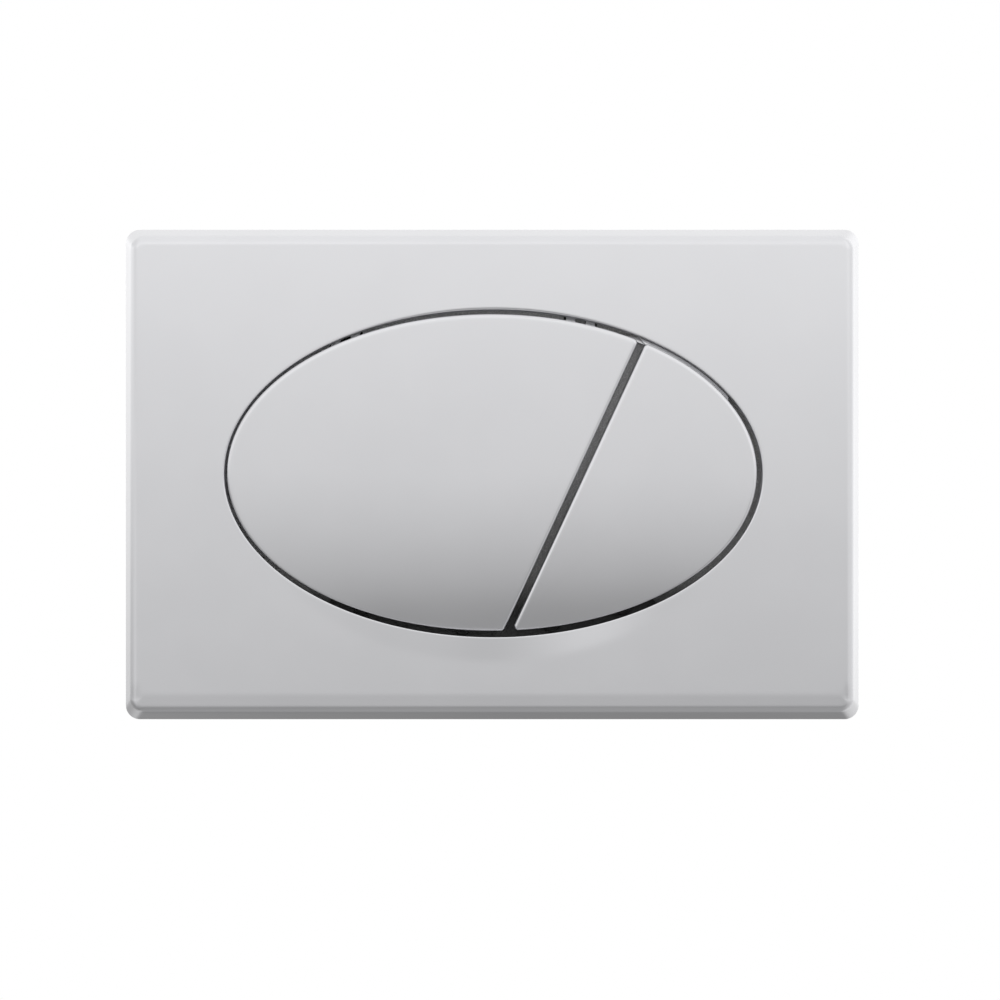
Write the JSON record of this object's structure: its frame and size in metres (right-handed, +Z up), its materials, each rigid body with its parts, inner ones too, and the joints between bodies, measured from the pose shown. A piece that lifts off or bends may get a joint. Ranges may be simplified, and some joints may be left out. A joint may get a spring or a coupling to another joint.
{
  "type": "flush button plate",
  "caption": "Satin chrome wall plate whose oval opening holds a large and a small flush button, hinged at the top, that push rods into a concealed cistern.",
  "frame": {"origin": "on the wall plane, behind the middle of the plate's outline", "axes": "+X to the user's right, +Z up, +Y into the wall; the front faces -Y"},
  "size_m": [0.247, 0.0805, 0.165],
  "materials": {
    "satin_chrome": "satin chrome plating on moulded ABS",
    "dark_moulding": "dark grey spark-eroded ABS",
    "pale_moulding": "pale grey moulded ABS",
    "grey_moulding": "mid grey moulded nylon",
    "natural_nylon": "natural moulded nylon",
    "zinc_steel": "bright zinc plated steel",
    "bright_steel": "ground stainless steel",
    "pad_rubber": "black soft rubber"
  },
  "bodies": {
    "plate_unit": {"front_plate": "satin_chrome", "button_carrier": "dark_moulding", "carrier_screws": "zinc_steel", "mounting_frame": "pale_moulding", "fixing_stud_left": "zinc_steel", "fixing_stud_right": "zinc_steel", "clamp_nut_left": "grey_moulding", "clamp_nut_right": "grey_moulding", "full_hinge_pins": "bright_steel", "half_hinge_pins": "bright_steel", "full_rod_guide": "natural_nylon", "half_rod_guide": "natural_nylon", "stop_pads": "pad_rubber", "full_return_spring": "bright_steel", "half_return_spring": "bright_steel"},
    "full_cap": {"full_button": "satin_chrome"},
    "full_rod": {"full_push_rod": "natural_nylon", "full_rod_head": "grey_moulding", "full_rod_nut": "grey_moulding"},
    "half_cap": {"half_button": "satin_chrome"},
    "half_rod": {"half_push_rod": "natural_nylon", "half_rod_head": "grey_moulding", "half_rod_nut": "grey_moulding"}
  },
  "joints": [
    {"name": "full_button_press", "type": "hinge", "parent": "plate_unit", "child": "full_cap", "pos_m": [0, -0.005, 0.05735], "axis": [1, 0, 0], "range_deg": [0, 3.6], "stiffness_Nm_per_rad": 2, "springref_deg": -6.3},
    {"name": "full_rod_slide", "type": "slide", "parent": "plate_unit", "child": "full_rod", "axis": [0, 1, 0], "range_m": [0, 0.00446], "deforming": ["full_return_spring"]},
    {"name": "half_button_press", "type": "hinge", "parent": "plate_unit", "child": "half_cap", "pos_m": [0, -0.005, 0.04835], "axis": [1, 0, 0], "range_deg": [0, 3.92], "stiffness_Nm_per_rad": 2, "springref_deg": -6.3},
    {"name": "half_rod_slide", "type": "slide", "parent": "plate_unit", "child": "half_rod", "axis": [0, 1, 0], "range_m": [0, 0.00423], "deforming": ["half_return_spring"]}
  ],
  "couplings": [
    {"joint": "full_rod_slide", "follows": "full_button_press", "m_per_rad": 0.06935},
    {"joint": "half_rod_slide", "follows": "half_button_press", "m_per_rad": 0.06035}
  ]
}
